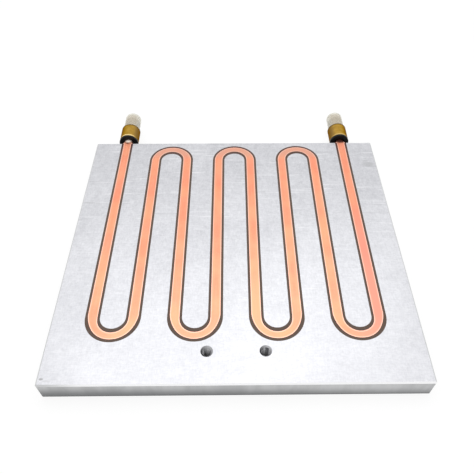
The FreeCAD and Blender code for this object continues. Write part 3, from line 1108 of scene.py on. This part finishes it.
@dataclass
class ConnectorBody:
    """The turned brass body: a stepped socket in front and a cut male thread behind."""

    port: Port
    radius: float = 10.2 * MILLIMETRE
    shoulder: float = 20.0 * MILLIMETRE
    front_chamfer: float = 1.8 * MILLIMETRE
    shoulder_chamfer: float = 0.6 * MILLIMETRE
    core_radius: float = 7.08 * MILLIMETRE
    flow_radius: float = 4.0 * MILLIMETRE
    tip_chamfer: float = 0.4 * MILLIMETRE
    socket_radius: float = 5.1 * MILLIMETRE
    socket_depth: float = 19.0 * MILLIMETRE
    seal_seat_radius: float = 7.2 * MILLIMETRE
    seal_clearance: float = 0.1 * MILLIMETRE
    stack_seat_radius: float = 8.2 * MILLIMETRE
    thread_start: float = 21.4 * MILLIMETRE
    ridge: ThreadRidge = field(
        default_factory=lambda: ThreadRidge(
            root_radius=7.0 * MILLIMETRE,
            crest_radius=7.97 * MILLIMETRE,
            pitch=1.5 * MILLIMETRE,
            turns=9,
            steps_per_turn=48,
        )
    )
    steps: int = 96

    def section(self, front: float, tip: float) -> list[tuple[float, float]]:
        """Work out the section that is turned about the axis.

        Args:
            front: The y of the body's front end.
            tip: The y of the thread's end.

        Returns:
            Radius and y of each corner, round the section.
        """
        shoulder = front + self.shoulder
        stack_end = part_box(self.port.value + "_spacer")[1].y
        seal_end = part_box(self.port.value + "_seal")[1].y + self.seal_clearance
        socket_end = front + self.socket_depth
        return [
            (self.stack_seat_radius, front),
            (self.radius - self.front_chamfer, front),
            (self.radius, front + self.front_chamfer),
            (self.radius, shoulder - self.shoulder_chamfer),
            (self.radius - self.shoulder_chamfer, shoulder),
            (self.core_radius, shoulder),
            (self.core_radius, tip - self.tip_chamfer),
            (self.core_radius - self.tip_chamfer, tip),
            (self.flow_radius, tip),
            (self.flow_radius, socket_end),
            (self.socket_radius, socket_end),
            (self.socket_radius, seal_end),
            (self.seal_seat_radius, seal_end),
            (self.seal_seat_radius, stack_end),
            (self.stack_seat_radius, stack_end),
        ]

    def build(self, material: bpy.types.Material) -> bpy.types.Object:
        """Turn the body and cut its thread.

        Args:
            material: The brass.

        Returns:
            The new piece.
        """
        node = self.port.value + "_connector_body"
        low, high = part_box(node)
        axis = Vector((0.0, 1.0, 0.0))
        aside = Vector((1.0, 0.0, 0.0))
        middle = Vector(((low.x + high.x) / 2, 0.0, (low.z + high.z) / 2))
        shape = bmesh.new()
        corners = [
            shape.verts.new(middle + aside * radius + axis * y)
            for radius, y in self.section(low.y, high.y)
        ]
        outline = [shape.edges.new(pair) for pair in zip(corners, corners[1:] + corners[:1])]
        bmesh.ops.spin(
            shape,
            geom=corners + outline,
            cent=middle,
            axis=axis,
            angle=math.tau,
            steps=self.steps,
            use_merge=True,
        )
        self.ridge.wind(shape, middle + axis * (low.y + self.thread_start), axis, aside)
        piece = publish(self.port.value + "_threaded_body", shape, material)
        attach(piece, BODY)
        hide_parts(node)
        return piece


@dataclass
class PushFitConnector:
    """One push-fit connector with the pieces inside it and its thread cap."""

    port: Port
    finishes: dict[str, bpy.types.Material]

    def build(self) -> None:
        """Turn the body and dress every piece of the connector."""
        ConnectorBody(self.port).build(self.finishes["connector_body"])
        for piece, material in self.finishes.items():
            dress("%s_%s" % (self.port.value, piece), material)


def connector_finishes(port: Port) -> dict[str, bpy.types.Material]:
    """Build the finishes of one connector.

    Args:
        port: The end of the circuit that it stands at.

    Returns:
        The finishes by piece.
    """
    cap_start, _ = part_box(port.value + "_cap")
    # The inlet's brass has the stronger painted highlight on its front chamfer.
    brass = TurnedMetal(
        port.value + "_brass",
        rim_highlight_strength=0.95 if port is Port.INLET else 0.4,
        capped_shade_span=(cap_start.y - 3.4 * MILLIMETRE, cap_start.y - 0.8 * MILLIMETRE),
    )
    steel = TurnedMetal(
        "spring_steel",
        edge_tint=(1.0, 1.0, 1.0),
        light=(0.62, 0.62, 0.62),
        dark=(0.45, 0.45, 0.46),
        flank_shade_colour=(0.5, 0.5, 0.5),
        capped_shade_colour=(0.5, 0.5, 0.5),
        roughness=0.2,
    )
    collar = MouldedPlastic(
        "black_acetal",
        light=(0.012, 0.013, 0.014),
        dark=(0.004, 0.004, 0.004),
        specular_level=0.2,
    )
    spacer = MouldedPlastic(
        "white_acetal",
        light=(0.80, 0.79, 0.76),
        dark=(0.72, 0.71, 0.68),
        roughness=0.3,
    )
    seal = MouldedPlastic(
        "nitrile_rubber",
        light=(0.03, 0.03, 0.03),
        dark=(0.015, 0.015, 0.015),
        roughness=0.55,
    )
    parts = {
        "connector_body": brass,
        "collar": collar,
        "grip_ring": steel,
        "spacer": spacer,
        "seal": seal,
        "cap": CapPlastic(),
    }
    return {piece: finish.make() for piece, finish in parts.items()}


@dataclass
class Studio:
    """A white room with one large softbox over the plate."""

    floor_half_size: float = 3.0
    rest_half_width: float = 148.7 * MILLIMETRE
    rest_half_length: float = 138.7 * MILLIMETRE
    floor_bounce: float = 0.8
    floor_shade: float = 0.14
    floor_glow: float = 0.88
    world_light: float = 0.75
    world_seen: float = 1.0
    lamp_place: Triple = (-0.03, 0.32, 1.0)
    lamp_size: tuple[float, float] = (1.12, 0.6)
    lamp_radiance: float = 1.86

    @staticmethod
    def seen(graph: Graph) -> Signal:
        """Return 1 for what is looked at, mirrored or looked through, and 0 for light alone."""
        rays = graph.node("ShaderNodeLightPath", {}, {}).outputs
        names = ("Is Camera Ray", "Is Glossy Ray", "Is Transmission Ray")
        looked_at, mirrored, looked_through = (Signal(graph, rays[name]) for name in names)
        return looked_at.greater(mirrored).greater(looked_through)

    def lay_floor(self) -> None:
        """Lay the pale floor, which is open under the plate and from below."""
        shape = bmesh.new()
        bmesh.ops.create_grid(shape, x_segments=1, y_segments=1, size=self.floor_half_size)
        material = bpy.data.materials.new("studio_floor")
        material.use_nodes = True
        graph = Graph(material.node_tree)
        bounce = graph.node("ShaderNodeBsdfDiffuse", {}, {"Color": (*[self.floor_bounce] * 3, 1.0)})
        shade = graph.node("ShaderNodeBsdfDiffuse", {}, {"Color": (*[self.floor_shade] * 3, 1.0)})
        glow = graph.node("ShaderNodeEmission", {}, {"Strength": self.floor_glow})
        lit = graph.node("ShaderNodeAddShader", {}, {0: shade.outputs[0], 1: glow.outputs[0]})
        values = {0: self.seen(graph), 1: bounce.outputs[0], 2: lit.outputs[0]}
        mixed = graph.node("ShaderNodeMixShader", {}, values)
        x, y, _ = graph.split(graph.place())
        inside_width = (self.rest_half_width - abs(x)).above(0.0)
        inside_length = (self.rest_half_length - abs(y)).above(0.0)
        covered = inside_width * inside_length
        below = Signal(graph, graph.node("ShaderNodeNewGeometry", {}, {}).outputs["Backfacing"])
        clear = graph.node("ShaderNodeBsdfTransparent", {}, {})
        values = {0: covered.greater(below), 1: mixed.outputs[0], 2: clear.outputs[0]}
        open_floor = graph.node("ShaderNodeMixShader", {}, values)
        graph.node("ShaderNodeOutputMaterial", {}, {"Surface": open_floor.outputs[0]})
        publish("floor", shape, material)

    def light_world(self) -> None:
        """Surround the plate with even light before a white background."""
        world = bpy.data.worlds.new("studio_world")
        world.use_nodes = True
        bpy.context.scene.world = world
        graph = Graph(world.node_tree)
        strength = self.seen(graph).pick(self.world_seen, self.world_light)
        values = {"Color": (1.0, 1.0, 1.0, 1.0), "Strength": strength}
        glow = graph.node("ShaderNodeBackground", {}, values)
        graph.node("ShaderNodeOutputWorld", {}, {"Surface": glow.outputs[0]})

    def hang_lamp(self) -> None:
        """Hang the softbox."""
        lamp = bpy.data.lights.new("softbox", "AREA")
        lamp.shape = "RECTANGLE"
        lamp.size, lamp.size_y = self.lamp_size
        lamp.energy = self.lamp_radiance * math.pi * self.lamp_size[0] * self.lamp_size[1]
        holder = bpy.data.objects.new("softbox", lamp)
        bpy.context.scene.collection.objects.link(holder)
        holder.location = self.lamp_place
        aim = Vector((0.0, 0.0, 0.0)) - holder.location
        holder.rotation_euler = aim.to_track_quat("-Z", "Y").to_euler()

    def build(self) -> None:
        """Set up floor, world and lamp, and the plain view of colours."""
        self.lay_floor()
        self.light_world()
        self.hang_lamp()
        bpy.context.scene.view_settings.view_transform = "Standard"


@dataclass
class Viewpoint:
    """The camera: where it stands, where it looks and its lens."""

    place: Triple = (-0.002117, -0.300555, 0.377795)
    turn_degrees: Triple = (40.39126, -0.13265, -0.56446)
    lens_millimetres: float = 38.543
    sensor_millimetres: float = 36.0
    near_limit: float = 0.01

    def build(self) -> None:
        """Set up the camera."""
        lens = bpy.data.cameras.new("camera")
        lens.lens = self.lens_millimetres
        lens.sensor_width = self.sensor_millimetres
        lens.clip_start = self.near_limit
        holder = bpy.data.objects.new("camera", lens)
        bpy.context.scene.collection.objects.link(holder)
        holder.location = self.place
        holder.rotation_euler = [math.radians(angle) for angle in self.turn_degrees]
        bpy.context.scene.camera = holder


def main() -> None:
    """Build the dressed part, its studio and its camera."""
    logging.basicConfig(level=logging.INFO, format="%(name)s: %(message)s")
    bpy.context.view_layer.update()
    BasePlate().build()
    CoolantCircuit().build()
    for port in Port:
        PushFitConnector(port, connector_finishes(port)).build()
    Studio().build()
    Viewpoint().build()


if __name__ == "__main__":
    main()
